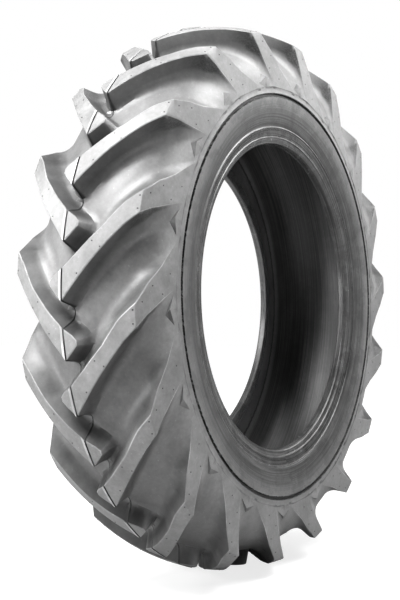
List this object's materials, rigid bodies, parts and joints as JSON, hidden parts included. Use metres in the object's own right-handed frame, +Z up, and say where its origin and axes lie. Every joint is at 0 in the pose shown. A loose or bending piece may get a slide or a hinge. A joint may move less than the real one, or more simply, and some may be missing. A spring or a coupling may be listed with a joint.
{
  "type": "tractor tyre",
  "caption": "Bare bar-lug drive tyre for a tractor: slanted interlocking tread lugs in a V, plain side walls and open beads that seat on a rim.",
  "frame": {"origin": "the wheel's centre, on the axle line midway between the two beads", "axes": "+Y along the axle, +Z up; the tyre is upright as a wheel and spins about +Y"},
  "size_m": [1.0934, 0.2618, 1.0934],
  "materials": {
    "tyre": "satin moulded rubber with shallow mould marks and slight storage wear"
  },
  "bodies": {
    "root": {"tyre": "tyre"}
  },
  "joints": []
}
